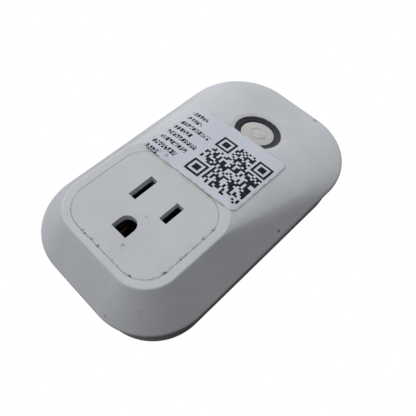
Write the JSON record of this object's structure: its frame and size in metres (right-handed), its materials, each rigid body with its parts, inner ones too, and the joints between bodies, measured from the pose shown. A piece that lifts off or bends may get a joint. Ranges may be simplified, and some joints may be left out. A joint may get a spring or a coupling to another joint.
{
  "type": "plug-in power meter",
  "caption": "Wall-plug housing with one grounded outlet on a raised pad, a long sloping face with a round button, and flat prongs behind.",
  "frame": {"origin": "on the rear face, midway between the two flat prongs", "axes": "+X from the outlet towards the button end, +Z out of the front face; the plug points along -Z"},
  "size_m": [0.105, 0.0632, 0.0493],
  "materials": {
    "cover_plastic": "moulded, fine satin",
    "plate_plastic": "moulded, fine satin",
    "ring_plastic": "smoked, semi-gloss",
    "button_plastic": "moulded, satin",
    "label_paper": "printed coated paper",
    "block_plastic": "glass-filled nylon",
    "plated_brass": "nickel-plated brass",
    "contact_brass": "phosphor bronze",
    "wire_black": "insulation",
    "wire_white": "insulation",
    "wire_red": "insulation",
    "board_green": "solder mask over glass-epoxy",
    "relay_plastic": "moulded",
    "relay_steel": "zinc-plated iron",
    "coil_copper": "enamelled wire",
    "ferrite": "sintered ferrite",
    "winding_tape": "polyester tape",
    "capacitor_sleeve": "shrink sleeve",
    "fuse_plastic": "moulded",
    "varistor_epoxy": "epoxy dip",
    "shunt_alloy": "resistance alloy",
    "chip_plastic": "moulded epoxy",
    "tinned_steel": "tin-plated steel",
    "led_epoxy": "clear epoxy",
    "screw_zinc": "zinc plate"
  },
  "bodies": {
    "housing": {"front_cover": "cover_plastic", "rear_housing": "cover_plastic", "outlet_plate": "plate_plastic", "button_ring": "ring_plastic", "asset_label": "label_paper", "prong_carrier": "block_plastic", "line_blade": "plated_brass", "neutral_blade": "plated_brass", "ground_pin": "plated_brass", "contact_carrier": "block_plastic", "line_contact": "contact_brass", "neutral_contact": "contact_brass", "ground_contact": "contact_brass", "ground_bus": "contact_brass", "line_wire": "wire_black", "neutral_wire": "wire_white", "load_wire": "wire_red", "main_board": "board_green", "relay_case": "relay_plastic", "relay_base": "relay_plastic", "relay_yoke": "relay_steel", "relay_core": "relay_steel", "relay_coil": "coil_copper", "relay_fixed_contact": "contact_brass", "transformer_core": "ferrite", "transformer_winding": "winding_tape", "bulk_capacitors": "capacitor_sleeve", "fuse": "fuse_plastic", "varistor": "varistor_epoxy", "metering_shunt": "shunt_alloy", "metering_chip": "chip_plastic", "bridge_rectifier": "chip_plastic", "wifi_module": "board_green", "wifi_shield": "tinned_steel", "button_board": "board_green", "tact_switch": "chip_plastic", "status_leds": "led_epoxy", "board_link": "chip_plastic", "case_screws": "screw_zinc", "board_screws": "screw_zinc", "carrier_screws": "screw_zinc", "button_board_screws": "screw_zinc"},
    "power_button": {"power_button": "button_plastic"},
    "switch_stem": {"tact_switch_stem": "chip_plastic"},
    "relay_arm": {"relay_armature": "relay_steel", "relay_moving_contact": "contact_brass"}
  },
  "joints": [
    {"name": "button_press", "type": "slide", "parent": "housing", "child": "power_button", "axis": [-0.2082, 0, -0.9781], "range_m": [0, 0.00035], "stiffness_N_per_m": 800, "springref_m": -0.001},
    {"name": "switch_press", "type": "slide", "parent": "housing", "child": "switch_stem", "axis": [-0.2082, 0, -0.9781], "range_m": [0, 0.00035]},
    {"name": "relay_pull", "type": "hinge", "parent": "housing", "child": "relay_arm", "pos_m": [0.0184, -0.0058, 0.0179], "axis": [0, 1, 0], "range_deg": [0, 3], "stiffness_Nm_per_rad": 0.002, "springref_deg": -5.73}
  ],
  "couplings": [
    {"joint": "switch_press", "follows": "button_press", "ratio": 1}
  ]
}
